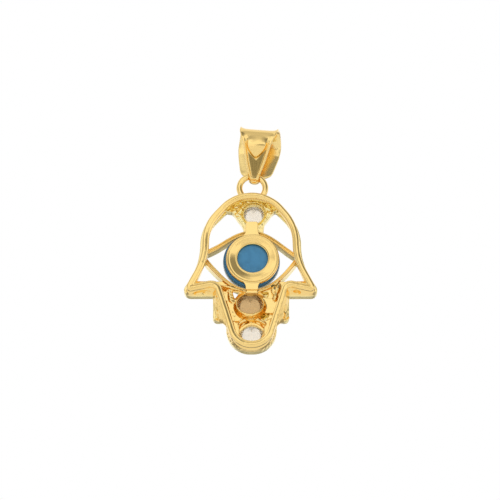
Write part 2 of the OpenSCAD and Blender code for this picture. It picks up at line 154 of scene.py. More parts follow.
# Closed shells, gathered as arrays and later fused into one casting
class Shells:
    def __init__(self):
        self.points, self.faces, self.count = [], [], 0

    def add(self, points, faces):
        self.points.append(points.reshape(-1, 3))
        self.faces += [tuple(np.asarray(f) + self.count) for f in faces]
        self.count += len(self.points[-1])

    def grid(self, p, closeU=True, closeV=True, caps=False):
        # p[u, v] is a point; neighbours in u and v share a quad, and caps shut the two open ends in u
        nu, nv = p.shape[:2]
        i = np.arange(nu if closeU else nu - 1)[:, None]
        j = np.arange(nv if closeV else nv - 1)[None, :]
        corners = [i*nv + j, i*nv + (j + 1) % nv, (i + 1) % nu*nv + (j + 1) % nv, (i + 1) % nu*nv + j]
        faces = np.stack([c + 0*i + 0*j for c in corners], -1).reshape(-1, 4).tolist()
        if caps:
            faces += [list(range(nv))[::-1], list(range((nu - 1)*nv, nu*nv))]
        self.add(p, faces)

    def sweepOutline(self, half, profile):
        # Every profile row (offset, depth) becomes the outline moved outwards by its offset, at its depth
        self.grid(np.stack([np.insert(outline(half, o), 1, y, axis=1) for o, y in profile]))

    def sweepArch(self, lid, profile):
        # The same along an arch, with both ends shut
        rows = [np.insert(arch(lid, o), 1, y, axis=1) for o, y in profile]
        self.grid(np.stack(rows, 1), closeU=False, caps=True)

    def turned(self, at, profile, steps=96, tilt=0, level=1.9):
        # A closed profile of radius and depth goes once round the y direction at (x, z). A third number
        # is added to the radius at the foot and not at the top. The end behind the level slopes by tilt.
        a = np.linspace(0, 2*np.pi, steps, endpoint=False)[:, None]
        r, y, flare = np.array([(tuple(row) + (0,))[:3] for row in profile]).T
        r = r + flare*(1 - np.sin(a))/2
        slope = tilt*np.clip((level - y)/(level - y.min()), 0, 1)
        self.grid(np.stack([at[0] + r*np.cos(a), y + slope*r*np.sin(a), at[1] + r*np.sin(a)], -1))

    def prism(self, outer, y0, y1):
        # Straight walls under an outline, and two flat caps
        flat = np.asarray(outer, float)
        n = len(flat)
        i = np.arange(n)
        j = (i + 1) % n
        faces = np.stack([i, j, n + j, n + i], 1).tolist() + [i[::-1].tolist(), (n + i).tolist()]
        self.add(np.concatenate([np.insert(flat, 1, y0, axis=1), np.insert(flat, 1, y1, axis=1)]), faces)

    def pierced(self, outer, y0, y1, holes):
        # A prism with holes cut through it; a hole is an outline and how far it climbs per depth
        parts = []
        for loops, back, ahead in (([(outer, 0)], y0, y1), (holes, y0 - 1, y1 + 1)):
            one = Shells()
            for loop, climb in loops:
                one.prism(loop, back, ahead)
                one.points[-1][:, 2] += climb*(one.points[-1][:, 1] - front["palmY"])
            parts.append(newObject("plate", np.concatenate(one.points), one.faces))
            mergeAndTurnOut(parts[-1])
        plate, cutter = parts
        cut = plate.modifiers.new("cut", "BOOLEAN")
        cut.operation, cut.solver, cut.object = "DIFFERENCE", "EXACT", cutter
        applyModifiers(plate)
        self.add(readPoints(plate.data), [tuple(p.vertices) for p in plate.data.polygons])
        for part in parts:
            bpy.data.objects.remove(part)

    def ball(self, centre, radii, along=(0, 1, 0), steps=(12, 8)):
        # Latitude and longitude grid of a stretched ball whose second radius lies along a direction
        a = np.linspace(0, 2*np.pi, steps[0], endpoint=False)[:, None]
        b = np.linspace(-np.pi/2, np.pi/2, steps[1])[None, :]
        axis = unit(np.array(along, float))
        side = unit(np.cross(axis, [0.3, 0.2, 0.9]))
        other = np.cross(axis, side)
        p = (np.cos(a)*np.cos(b))[..., None]*side*radii[0] + (np.sin(b) + 0*a)[..., None]*axis*radii[1] \
            + (np.sin(a)*np.cos(b))[..., None]*other*radii[2]
        self.grid(p + np.array(centre), closeU=True, closeV=False)


def circle(at, r, steps=72):
    a = np.linspace(0, 2*np.pi, steps, endpoint=False)
    return np.stack([at[0] + r*np.cos(a), at[1] + r*np.sin(a)], 1)


def latticeNoise(p, size, seed):
    # Random numbers on a lattice of the given size, blended smoothly between its eight corners, -1 to 1
    table = np.random.default_rng(seed).random((32, 32, 32))*2 - 1
    cell = np.floor(p/size).astype(int)
    f = p/size - cell
    f = f*f*(3 - 2*f)
    total = np.zeros(len(p))
    for k in range(8):
        step = np.array([k & 1, k >> 1 & 1, k >> 2 & 1])
        weight = np.prod(np.where(step, f, 1 - f), axis=1)
        i, j, l = ((cell + step) % 32).T
        total += weight*table[i, j, l]
    return total


def smoothStep(x, low, high):
    t = np.clip((x - low)/(high - low), 0, 1)
    return t*t*(3 - 2*t)


def newObject(name, points, faces):
    mesh = bpy.data.meshes.new(name)
    mesh.from_pydata(points.tolist(), [], [tuple(int(i) for i in f) for f in faces])
    mesh.validate()
    obj = bpy.data.objects.new(name, mesh)
    bpy.context.scene.collection.objects.link(obj)
    return obj


def mergeAndTurnOut(obj, distance=1e-7):
    # Joins points that lie together and turns every face outwards
    bm = bmesh.new()
    bm.from_mesh(obj.data)
    bmesh.ops.remove_doubles(bm, verts=bm.verts, dist=distance)
    bmesh.ops.dissolve_degenerate(bm, edges=bm.edges, dist=distance)
    bmesh.ops.recalc_face_normals(bm, faces=bm.faces)
    bm.to_mesh(obj.data)
    bm.free()


def applyModifiers(obj):
    deps = bpy.context.evaluated_depsgraph_get()
    made = bpy.data.meshes.new_from_object(obj.evaluated_get(deps))
    obj.modifiers.clear()
    old = obj.data
    obj.data = made
    bpy.data.meshes.remove(old)


def readPoints(mesh, field="vertices"):
    flat = np.empty(len(mesh.vertices)*3, np.float32)
    if field == "normals":
        mesh.vertex_normals.foreach_get("vector", flat)
    else:
        mesh.vertices.foreach_get("co", flat)
    return flat.reshape(-1, 3).astype(float)


def writePoints(mesh, points):
    mesh.vertices.foreach_set("co", points.astype(np.float32).ravel())
    mesh.update()


def dropSpecks(obj):
    # Deletes all but the largest connected shell: the lowest label spreads along the edges until it rests
    ends = np.empty(len(obj.data.edges)*2, np.int32)
    obj.data.edges.foreach_get("vertices", ends)
    one, other = ends.reshape(-1, 2).T
    label, before = np.arange(len(obj.data.vertices)), None
    while not np.array_equal(label, before):
        before = label.copy()
        np.minimum.at(label, one, before[other])
        np.minimum.at(label, other, before[one])
        label = label[label]
    specks = np.flatnonzero(label != np.bincount(label).argmax())
    bm = bmesh.new()
    bm.from_mesh(obj.data)
    bm.verts.ensure_lookup_table()
    bmesh.ops.delete(bm, geom=[bm.verts[i] for i in specks], context="VERTS")
    bm.to_mesh(obj.data)
    bm.free()


def cast(name, shells, voxel, relief, softness=3, limit=180000):
    # Fuses the shells in millimetres, softens them, lets relief(points, normals) push the skin out by
    # a height in millimetres, thins the mesh to the limit and puts it in its place in metres
    obj = newObject(name, np.concatenate(shells.points), shells.faces)
    fuse = obj.modifiers.new("fuse", "REMESH")
    fuse.mode, fuse.voxel_size = "VOXEL", voxel
    soften = obj.modifiers.new("soften", "SMOOTH")
    soften.factor, soften.iterations = 0.5, softness
    applyModifiers(obj)
    p, n = readPoints(obj.data), readPoints(obj.data, "normals")
    writePoints(obj.data, p + n*relief(p, n)[:, None])
    triangles = 2*len(obj.data.polygons)
    if triangles > limit:
        thin = obj.modifiers.new("thin", "DECIMATE")
        thin.ratio = limit/triangles
        applyModifiers(obj)
    dropSpecks(obj)
    # The left side stands out a little further than the right
    p = readPoints(obj.data)
    p[:, 0] -= hand["leftward"]*smoothStep(-p[:, 0], 3.2, 4.8)
    obj.data.shade_smooth()
    writePoints(obj.data, p*mm + handPlace)
    print(f"{name}: {triangles} triangles before thinning, {len(obj.data.polygons)} faces kept")
    return obj


# The back frame: rail with its groove and inner lip, side wall, and the loop with its solder
backFrame = {"voxel": 0.045, "wallT": 0.31, "wallOut": 0.30, "wallBack": 0.4, "wallAhead": 2.3, "loopD": 2.75,
             "wire": 0.65, "loopX": 0.1, "loopY": 1.49, "solderX": 0.92, "solderZ": 7.44, "wobble": 0.012}


def railProfile():
    # From the outer side over the round bead, down into the groove, over the lip and back underneath
    bead = [(0.07 + 0.28*math.cos(t), 0.22 - 0.22*math.sin(t)) for t in np.linspace(0, np.pi*0.9, 11)]
    return [(0.35, 0.5)] + bead + [(-0.215, 0.17), (-0.24, 0.1), (-0.29, 0.075), (-0.335, 0.11), (-0.35, 0.2),
                                   (-0.35, 0.52), (-0.3, 0.6), (0.3, 0.6)]


def makeBackFrame():
    b = backFrame
    shells = Shells()
    shells.sweepOutline(railHalf(), railProfile())
    out, inside = b["wallOut"], b["wallOut"] - b["wallT"]
    back, ahead = b["wallBack"], b["wallAhead"]
    shells.sweepOutline(railHalf(), [(out, back), (out, ahead), (inside, ahead), (inside, back)])
    loopR = b["loopD"]/2
    loopZ = hand["crown"] + hand["railW"]/2 + loopR - b["wire"]/2
    # The wire closes under the arch, where it is sunk into the wall
    a = np.linspace(math.radians(-62), math.radians(242), 120)[:, None]
    c = np.linspace(0, 2*np.pi, 24, endpoint=False)[None, :]
    r = loopR + b["wire"]/2*np.cos(c)
    wire = np.stack([b["loopX"] + r*np.cos(a), b["loopY"] + b["wire"]/2*np.sin(c) + 0*a,
                     loopZ + r*np.sin(a)], -1)
    shells.grid(wire, closeU=False, caps=True)
    for side in (-1, 1):
        shells.ball((b["loopX"] + side*b["solderX"], b["loopY"], b["solderZ"]), (0.42, 0.34, 0.26))

    def relief(p, n):
        return b["wobble"]*latticeNoise(p, 0.7, 3) + 0.35*b["wobble"]*latticeNoise(p, 0.25, 4)
    return cast("back_frame", shells, b["voxel"], relief)


# The front casting: border, skirt and grains, webs to the back rail, palm, fan, eyelids and collars
front = {"voxel": 0.05, "borderT": 0.45, "borderW": 0.66, "skirtW": 0.3, "skirtY": 1.5, "palmY": 1.35,
         "grainPitch": 0.41, "grainR": 0.19, "lidT": 0.42, "lidY": 1.0, "lidOuter": 0.15, "lidInner": 0.1,
         "lidGroove": 0.22, "lidStep": 0.12, "thumbTop": -2.05, "seatGap": 0.05, "stoneSunk": 0.12,
         "webBack": 0.42, "webAhead": 2.05, "webOut": 0.24, "webIn": 0.1, "bulge": 0.14,
         "fanGrain": 0.04, "palmGrain": 0.01}
# Each stone's collar: bore and wall, the rim's level, the cone's extra width, slope and widening of the rim
stones = {"top": {"node": "top_stone", "hole": 2.1, "wall": 0.13, "rim": 1.42, "cone": 0.0,
                  "tilt": 0.0, "open": 0.0},
          "middle": {"node": "middle_stone", "hole": 2.62, "wall": 0.24, "rim": 0.82, "cone": 0.6,
                     "tilt": 0.4, "open": 0.3},
          "bottom": {"node": "bottom_stone", "hole": 2.3, "wall": 0.2, "rim": 1.25, "cone": 0.0,
                     "tilt": 0.0, "open": 0.0}}
# The cut that all the stones have, in shares and degrees
cutting = {"table": 0.56, "crown": 34, "pavilion": 41, "girdle": 0.04, "star": 0.5, "lowerHalf": 0.77}
eye = {"d": 6.0, "washerX": 0.12, "washerD": 5.6, "hole": 3.2, "washerY": 0.15, "washerT": 0.5,
       "dish": 0.26, "holeUp": 0.12, "strapW": 1.3, "strapT": 0.4, "strapFoot": 1.19,
       "lidOpen": 0.1}
# Hollows in the cast sides and palm: centre, radii and depth
hollows = [((-4.95, 1.0, -3.72), (1.05, 0.5, 0.5), 0.4), ((4.72, 0.95, -3.7), (0.5, 0.42, 0.5), 0.35),
           ((-3.42, 1.15, -4.9), (0.3, 0.4, 0.8), 0.14), ((3.45, 1.15, -5.3), (0.3, 0.4, 0.7), 0.2),
           ((-3.55, 1.3, -6.1), (0.35, 0.25, 0.25), 0.1), ((3.5, 1.3, -6.2), (0.35, 0.25, 0.25), 0.1)]
# The fan's two sides, from the arch down to the neck on the upper eyelid
fan = {"left": [(-2.95, 6.4), (-2.82, 5.95), (-2.1, 5.84), (-1.82, 5.57), (-1.46, 5.0), (-1.1, 4.52),
                (-0.86, 4.04), (-0.8, 3.25)],
       "right": [(1.3, 3.2), (1.28, 3.95), (1.42, 4.6), (1.78, 5.1), (2.12, 5.6), (2.42, 5.9),
                 (2.75, 6.0), (2.9, 6.4)]}


def stonePlace(stone):
    low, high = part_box(stone["node"])
    at = (np.array(low) + np.array(high))/2
    at = (at - handPlace)/mm
    return (at[0], at[2]), (high.x - low.x)/mm


def lids():
    width, reach = hand["dome"]/2 + 0.1, eye["d"]/2 + front["lidT"]/2
    upper = {"width": width, "left": 1.0, "right": 0.62, "middle": reach + eye["lidOpen"], "slump": 0.55}
    lower = {"width": width, "left": 0.4, "right": 0.3, "middle": -reach - 0.08, "slump": 0.0}
    return upper, lower


def evenly(line, count):
    # Places at equal distances along an open line of points
    length = np.concatenate([[0], np.cumsum(np.linalg.norm(np.diff(line, axis=0), axis=1))])
    s = np.linspace(0, length[-1], count)
    return np.stack([np.interp(s, length, line[:, k]) for k in range(line.shape[1])], 1)


def roundEdge(loop, pitch):
    # The same round a closed outline, with the outward direction at each place and the one along it
    ring = np.vstack([loop, loop[:1]])
    length = np.linalg.norm(np.diff(ring, axis=0), axis=1).sum()
    at = evenly(ring, int(length/pitch) + 1)[:-1]
    along = unit(np.roll(at, -1, 0) - np.roll(at, 1, 0))
    return at, np.stack([-along[:, 1], along[:, 0]], 1), along


def stretch(loop, start, end, count):
    # The part of an outline between the points nearest to two places
    i = np.argmin(np.linalg.norm(loop - start, axis=1))
    j = np.argmin(np.linalg.norm(loop - end, axis=1))
    return evenly(loop[i:j + 1], count)


def makeWebs(shells):
    # Sloping walls of the thumbs and fingers: each station joins the back rail to the front border
    h, f = hand, front
    under = -h["thumbDrop"] - h["thumbT"]
    # Where the stretches end, on the rail and on the border in front of it
    tip, notch = (h["thumb"]/2, -h["thumbDrop"]), (h["notch"]/2, -h["notchDrop"])
    low = (2.25, -h["indexDrop"])
    frontTip, armpit = (h["thumb"]/2 + 0.7, under), (h["index"]/2, under)
    frontLow = (h["middle"]/2, -h["indexDrop"])
    flip = lambda at: (-at[0], at[1])
    for ends, frontEnds, n, paired in (((tip, notch), (frontTip, armpit), 60, True),
                                       ((notch, low), (armpit, frontLow), 90, True),
                                       ((low, flip(low)), (frontLow, flip(frontLow)), 140, False)):
        rail = lambda d, y: np.insert(stretch(outline(railHalf(), d), *ends, n), 1, y, axis=1)
        edge = lambda d, y: np.insert(stretch(outline(frontHalf(), d), *frontEnds, n), 1, y, axis=1)
        back, ahead, out, inwards = f["webBack"], f["webAhead"], f["webOut"], f["webIn"]
        a, b = rail(out, back), edge(-inwards, ahead)
        wideA, wideB = rail(out + f["bulge"], back), edge(f["bulge"] - inwards, ahead)
        # The last two rows lie inside the metal of the border and of the rail
        p = np.stack([a, 0.75*wideA + 0.25*wideB, 0.5*(wideA + wideB), 0.25*wideA + 0.75*wideB, b,
                      edge(-0.55, 2.15), rail(-0.1, 0.62)], 1)
        shells.grid(p, closeU=False, caps=True)
        if paired:
            shells.grid((p*[-1, 1, 1])[::-1], closeU=False, caps=True)


def makeGrains(shells):
    # Grains round the edge, none under the middle fingertip; on the fingers one more leans over the skirt
    f = front
    at, out, along = roundEdge(outline(frontHalf(), -0.03), f["grainPitch"])
    plain = (np.abs(at[:, 0]) < 1.15) & (at[:, 1] < -9)
    fingers = at[:, 1] < -6.3
    for (x, z), o, s, low in zip(at[~plain], out[~plain], along[~plain], fingers[~plain]):
        if low:
            shells.ball((x - o[0]*0.07, 1.74, z - o[1]*0.07), (f["grainR"]*0.75, 0.62, f["grainR"]*0.75),
                        (s[0]*0.55, 1, s[1]*0.55))
        shells.ball((x - o[0]*0.24, handThick - 0.02, z - o[1]*0.24), (f["grainR"], 0.13, f["grainR"]))


def makeFront():
    f = front
    shells = Shells()
    y = handThick
    w = f["borderW"]
    shells.sweepOutline(frontHalf(), [(-0.05, f["skirtY"]), (0, f["skirtY"] + 0.06), (0, y - 0.1), (-0.08, y),
                                      (-w + 0.05, y), (-w, y - 0.05), (-w, y - f["borderT"]),
                                      (-f["skirtW"], y - f["borderT"]), (-f["skirtW"], f["skirtY"])])
    makeGrains(shells)
    makeWebs(shells)
    holes = []
    for stone in stones.values():
        centre, d = stonePlace(stone)
        stone["at"], stone["d"] = centre, d
        holes.append((circle(centre, d/2 + f["seatGap"] + 0.08), 0))
    upper, lower = lids()
    lidLine = arch(lower, 0)
    lidLine = lidLine[lidLine[:, 1] < f["thumbTop"]]
    slot = (np.array([[-1.98, -3.36], [-1.26, -3.38], [-1.5, -3.75], [-1.75, -4.12]]), 0.4)
    recesses = [(np.array(r), 0) for r in ([[0.95, -3.4], [1.78, -3.3], [1.72, -3.95]],
                                           [[0.8, -6.02], [1.9, -5.85], [1.5, -6.62]])]
    # The thin plate behind the border reaches into the fingers, the thick palm lies inside the wall
    for half, d, back, ahead, extra in ((frontHalf(), -0.2, y - f["borderT"], y - 0.06, []),
                                        (railHalf(), 0.15, f["palmY"], y - 0.35, recesses)):
        edge = outline(half, d)
        below = edge[edge[:, 1] < f["thumbTop"]]
        ends = [[below[-1][0], f["thumbTop"]], [below[0][0], f["thumbTop"]]]
        shape = np.vstack([below, ends[:1], lidLine, ends[1:]])
        shells.pierced(shape, back, ahead, [holes[1], holes[2], slot] + extra)
    roof = outline(railHalf(), 0.1)
    roof = roof[(roof[:, 1] > 5) & (np.abs(roof[:, 0]) < 2.6)]
    sides = np.vstack([fan["right"], roof[np.argsort(-roof[:, 0])], fan["left"]])
    shells.pierced(sides, f["skirtY"], y - 0.06, [holes[0]])
    for lid in (upper, lower):
        h = f["lidT"]/2
        top, low, floor = f["lidY"], f["lidY"] + f["lidStep"], f["lidY"] + f["lidGroove"]
        # The lip away from the eye is the wider one and stands further back
        above, below = (f["lidOuter"], f["lidInner"]) if lid is upper else (f["lidInner"], f["lidOuter"])
        first, last = (top, low) if lid is upper else (low, top)
        inner, outer = h - above, -h + below
        shells.sweepArch(lid, [(h, y - 0.03), (h, first + 0.04), (h - 0.04, first), (inner, first),
                               (inner, floor), (outer, floor), (outer, last), (0.04 - h, last),
                               (-h, last + 0.04), (-h, y - 0.03)])
    for stone in stones.values():
        makeCollar(shells, stone)
    makePalmRelief(shells)

    def relief(p, n):
        # Rough cast skin on the fan, a finer one on the palm, hollows, and a gentle wobble everywhere
        sunk = smoothStep(-n[:, 1], 0.2, 0.7)*smoothStep(p[:, 1], 1.1, 1.4)
        onFan = sunk*smoothStep(p[:, 2], 3.4, 4.2)
        onPalm = smoothStep(-n[:, 1], 0.1, 0.6)*smoothStep(-p[:, 2], 2.2, 2.8)
        for stone in stones.values():
            r = np.hypot(p[:, 0] - stone["at"][0], p[:, 2] - stone["at"][1])
            clear = smoothStep(r, stone["hole"]/2 + 0.08, stone["hole"]/2 + 0.2)
            onFan, onPalm = onFan*clear, onPalm*clear
        rough = latticeNoise(p, 0.3, 7) + 0.8*latticeNoise(p, 0.15, 8)
        left = smoothStep(-p[:, 0], 0.4, 1.2)
        grain = f["fanGrain"]*onFan + f["palmGrain"]*(1 + 0.8*left)*onPalm
        height = rough*grain + 0.01*latticeNoise(p, 0.6, 9)
        uneven = 1 - 0.25*latticeNoise(p, 0.22, 10)
        for centre, radii, depth in hollows:
            inside = np.clip(1 - np.sum(((p - centre)/radii)**2, axis=1), 0, 1)
            height -= depth*smoothStep(inside, 0, 0.6)*uneven*smoothStep(2.3 - p[:, 1], 0, 0.3)
        return height
    return cast("front_casting", shells, f["voxel"], relief, softness=2)


def makeCollar(shells, stone):
    # A tube from the rim behind, with a cone round it, a seat under the stone's girdle and a lip over it
    h, r, t = stone["hole"]/2, stone["d"]/2 + front["seatGap"], stone["wall"]
    girdle = handThick - front["stoneSunk"] - cutting["girdle"]*stone["d"] - 0.04
    out = max(h + t, r + 0.12)
    rim, cone, wide = stone["rim"], stone["cone"], stone["open"]
    edge = h - 0.55*wide
    behind = [(edge, rim + 0.05, wide), (edge + 0.06, rim, wide), (edge + t - 0.08, rim, wide),
              (edge + t, rim + 0.08, wide)]
    outside = [(h + t, rim + 0.3, cone*0.6), (out, 1.9, cone), (out, handThick - 0.05),
               (out - 0.06, handThick + 0.02)]
    seat = [(r - 0.05, handThick + 0.02), (r - 0.08, handThick - 0.03), (r, girdle + 0.16), (r, girdle),
            (h, min(girdle - (r - h)*0.87, 2.1))]
    shells.turned(stone["at"], behind + outside + seat, tilt=stone["tilt"])


def makePalmRelief(shells):
    # Leftovers of the front pattern that show on the back of the palm: a rope, a leaf, plates and lumps
    a = np.linspace(0, 2*np.pi, 12, endpoint=False)[None, :, None]
    ring = np.concatenate([0*a, np.cos(a), np.sin(a)], 2)
    for k in range(5):
        shells.ball((-2.26 + 0.05*k, 1.0, -3.2 - 0.33*k), (0.13, 0.33, 0.17), (1, 0.15, -0.5), (16, 10))
    shells.ball((-2.14, 1.25, -3.95), (0.25, 0.95, 0.3), (0.15, 0, -1), (16, 10))
    leaf = np.linspace(0, 1, 24)[:, None]
    spine = np.hstack([-3.45 + 2.5*leaf, 0.95 + 0.1*leaf, -2.74 - 0.56*leaf])
    fat = 0.05 + 0.16*np.sin(np.pi*np.clip(leaf, 0.08, 0.97))[:, :, None]
    shells.grid(spine[:, None, :] + fat*ring*[1, 1.6, 1], closeU=False, caps=True)
    # Thin plates round the settings, kept out of them
    plates = [(1.0, [[1.2, -4.05], [2.9, -4.3], [2.65, -5.4], [2.2, -5.85], [1.0, -5.75]]),
              (1.0, [[-2.65, -4.4], [-1.4, -4.25], [-0.9, -6.1], [-1.3, -6.7], [-2.0, -6.7]]),
              (1.05, [[-1.3, -5.6], [0.8, -5.6], [0.9, -6.3], [0.4, -6.38], [-0.4, -6.38], [-1.3, -6.75]]),
              (1.12, [[1.35, -6.7], [2.1, -6.3], [1.7, -8.1], [1.3, -8.2]]),
              (1.1, [[-1.95, -6.75], [-1.3, -6.85], [-1.3, -8.2], [-1.6, -8.2]])]
    bores = [(circle(stone["at"], stone["hole"]/2 + 0.1), 0) for stone in stones.values()]
    for level, corners in plates:
        shells.pierced(np.array(corners), level, 1.95, bores)
    # A hood over the lowest stone: a curved ridge, a slit under it and a crescent over the hole's top
    s = np.linspace(-1, 1, 25)[:, None]
    ridge = np.hstack([0.05 + 1.42*s, 1.1 + 0*s, -6.42 - 0.62*s*s])
    shells.grid(ridge[:, None, :] + (0.24 - 0.1*s[:, :, None]**2)*ring, closeU=False, caps=True)
    crescent = np.vstack([np.hstack([0.05 + 1.3*s, -6.8 - 0.75*s*s]),
                          np.hstack([0.05 - 1.2*s, -7.06 - 0.75*s*s])])
    shells.prism(crescent, 1.2, 1.8)
    lumps = [((2.35, 1.1, -3.15), (0.42, 0.62, 0.36), (0.15, 0.3, 1)),
             ((2.75, 1.1, -3.0), (0.36, 0.7, 0.34), (0.2, 0.2, 1)),
             ((2.5, 1.05, -3.95), (0.34, 0.6, 0.3), (0.2, 0.2, 1))]
    for at, radii, along in lumps:
        shells.ball(at, radii, along, (9, 6))


# The strap and the dished washer that carry the eye
def makeCarrier():
    e = eye
    shells = Shells()
    y0, y1 = e["washerY"], e["washerY"] + e["washerT"]
    h, r = e["hole"]/2, e["washerD"]/2
    dish, higher = e["washerY"] + e["dish"], e["holeUp"]
    # The hole and its lip sit a little above the washer's middle
    lip = [(0, y1), (0, dish + 0.02), (0.03, dish - 0.06), (0.1, dish - 0.06), (0.15, dish + 0.01),
           (0.3, dish - 0.03), (0.55, dish - 0.1)]
    lip = [(h + over + higher, level, -2*higher) for over, level in lip]
    rim = [(r - 0.4, y0 + 0.09), (r - 0.28, y0 + 0.11), (r - 0.2, y0 + 0.03), (r - 0.13, y0),
           (r - 0.04, y0 + 0.04), (r, y0 + 0.14), (r, y1)]
    shells.turned((e["washerX"], 0), lip + rim, steps=144)
    w = e["strapW"]/2
    t = np.linspace(0, 1, 9)[:, None]
    fillet = (1 - t)**2*[w, r + 0.42] + 2*t*(1 - t)*[w, r - 0.12] + t*t*[w + 0.62, r - 0.42]
    stoneZ = stones["top"]["at"][1]
    foot = stones["middle"]["at"][1] + e["strapFoot"]
    across = np.array([e["washerX"]*0.4, 0])
    wide = (w + 0.6)*(1 - t)
    under = np.hstack([wide, np.sqrt((r - 0.13)**2 - wide**2)])[:-1]
    shoulder = [[w - 0.3, stoneZ - 1.36], [w - 0.1, stoneZ - 1.4], [w - 0.02, stoneZ - 1.5]]
    up = np.vstack([shoulder, fillet, under])
    down = np.vstack([[[w - 0.1, foot]], [[w, foot + 0.1]], fillet*[1, -1], under*[1, -1]])
    for side in (up, down):
        shells.prism(np.vstack([side, (side*[-1, 1])[::-1]]) + across, y0 + 0.04, y0 + e["strapT"])
    # Below the step a lower tongue runs on over the collar's rim
    tongue = np.array([[w - 0.07, foot + 0.3], [w - 0.09, foot - 0.1], [w + 0.05, foot - 0.31]])
    shells.prism(np.vstack([tongue, (tongue*[-1, 1])[::-1]]) + across, y0 + 0.28, 0.95)
    post = np.array([[w, 0.19], [w, -0.19], [-w, -0.19], [-w, 0.19]])
    shells.prism(post + across + [0, stoneZ - 1.62], y0 + 0.2, 1.9)
    shells.prism(post*[0.85, 0.9] + across + [0, foot + 0.15], y0 + 0.2, 2.0)

    def relief(p, n):
        return 0.008*latticeNoise(p, 0.5, 12)
    return cast("eye_carrier", shells, 0.033, relief, softness=3, limit=120000)


goldPieces = [makeBackFrame(), makeFront(), makeCarrier()]
print("gold hand cast")


# The bail: one closed sheet whose height across its width changes from leg to leg
bail = {"depth": 3.4, "wall": 0.3, "drop": 4.8, "width": 4.1, "frontW": 4.5, "cradle": 0.605, "aside": 0.14,
        "lean": 6.4, "turn": 4.0, "rim": 0.28, "channel": 0.15, "lines": 0.022, "padTop": 0.145, "padW": 2.3,
        "padH": 2.6, "padFoot": 0.5, "padRise": 0.16, "crest": 0.2, "flare": 0.22, "spread": 0.27,
        "stepsU": 440, "stepsV": 110}
# The legs' widths as shares of their widest, at heights over the crest as shares of the drop
backLeg = {"z": [0.12, -0.08, -0.24, -0.34, -0.58, -0.75, -0.96, -1.1, -1.3],
           "w": [1, 0.95, 0.79, 0.72, 0.585, 0.49, 0.34, 0.234, 0.234]}
frontLeg = {"z": [0.12, -0.08, -0.2, -0.4, -0.6, -0.8, -0.9, -0.965, -1.03, -1.3],
            "w": [0.91, 0.98, 1, 0.95, 0.86, 0.76, 0.66, 0.36, 0.213, 0.213]}


def foldLine(steps):
    # Side view of the sheet's outer face: a big arc, a straight leg, a small arc and the other leg,
    # walked at even steps from the crest down the front leg and up the back leg
    b = bail
    top, low = b["depth"]/2, b["cradle"] + b["wall"]
    centre = -(top - b["wall"])
    lean = math.asin((top - low)/(b["drop"] + centre))
    t = np.linspace(np.pi/2, -lean, 900)
    over = np.stack([top*np.cos(t), centre + top*np.sin(t)], 1)
    t = np.linspace(-lean, -np.pi/2, 600)
    under = np.stack([low*np.cos(t), -b["drop"] + low*np.sin(t)], 1)
    right = np.vstack([over, under])
    at = evenly(np.vstack([right, (right*[-1, 1])[::-1][1:]]), steps + 1)[:-1]
    along = unit(np.roll(at, -1, 0) - np.roll(at, 1, 0))
    return at, np.stack([-along[:, 1], along[:, 0]], 1)


def shieldDistance(x, z):
    # Distance inside the edge of a shield with a flat top, straight sides and a V-shaped foot,
    # the least of its edges' distances, blended where they meet
    b = bail
    w, h = b["padW"]/2, b["padH"]
    slope = h*b["padFoot"]/w
    side = np.abs(x)/w
    edges = np.stack([-z, w - np.abs(x) + 0.03*z, (h + z - slope*w*side**1.4)/math.hypot(1, slope)])
    soft = 0.09
    return -soft*np.log(np.sum(np.exp(-edges/soft), axis=0))


def bailHeights(x, z, v, width, isFront):
    # Height of the outer face over the fold line, and the depth of the inner one under it
    b = bail
    drop = b["drop"]
    edge = width*(1 - np.abs(v))
    low = -z/drop
    crest = smoothStep(z, -1.5, 0.05)
    height = crest*(b["crest"] + b["flare"]*np.abs(v)**7)
    # Back leg: rims, the channel between them with its drawn lines, and the bulging shield
    isBack = 1 - isFront
    channel = smoothStep(edge, b["rim"] - 0.1, b["rim"])*smoothStep(-z, 1.0, 2.1)*isBack
    channel = channel*(1 - smoothStep(low, 1.07, 1.12))
    lines = b["lines"]*np.interp(x, np.linspace(-2, 2, 81), np.random.default_rng(5).random(81) - 0.5)
    height = height - (b["channel"] + lines)*channel
    bead = 0.03*np.exp(-((edge - 0.15)/0.1)**2)*isBack
    height = height + bead*smoothStep(-z, 0.8, 1.6)*(1 - smoothStep(low, 0.93, 1))
    pad = smoothStep(shieldDistance(x, z + b["padTop"]*drop), -0.05, 0.2)*isBack
    bulge = 0.1*np.clip(1 - (x/1.15)**2 - ((z + 1.85)/1.35)**2, 0, 1)
    height = height + pad*(b["padRise"]*smoothStep(low, 0.14, 0.4) + (b["channel"] + lines)*channel + bulge)
    deep = np.where(pad > 0.01, b["wall"] + height, b["wall"])
    deep = np.maximum(deep - 0.6*b["channel"]*channel*(1 - pad), 0.17)
    # Front leg: a trough whose edges spread forwards, more the further down they are
    spread = np.interp(low, [0.05, 0.35, 0.8, 0.95], [0, 0.6, 1, 0.3])*isFront
    height = height + b["spread"]*(np.abs(v)**2.4 - 0.25)*spread
    # Foot: rounded like half a wire, with a short slit where the tongue's end shows
    foot = smoothStep(low, 0.99, 1.06)
    height = height - 0.24*np.abs(v)**2.5*foot
    deep = deep - 0.24*np.abs(v)**2.5*foot
    slit = np.exp(-((low - 1.157)/0.012)**2)*isBack*(1 - smoothStep(np.abs(x), 0.22, 0.34))
    return height - 0.1*slit, deep


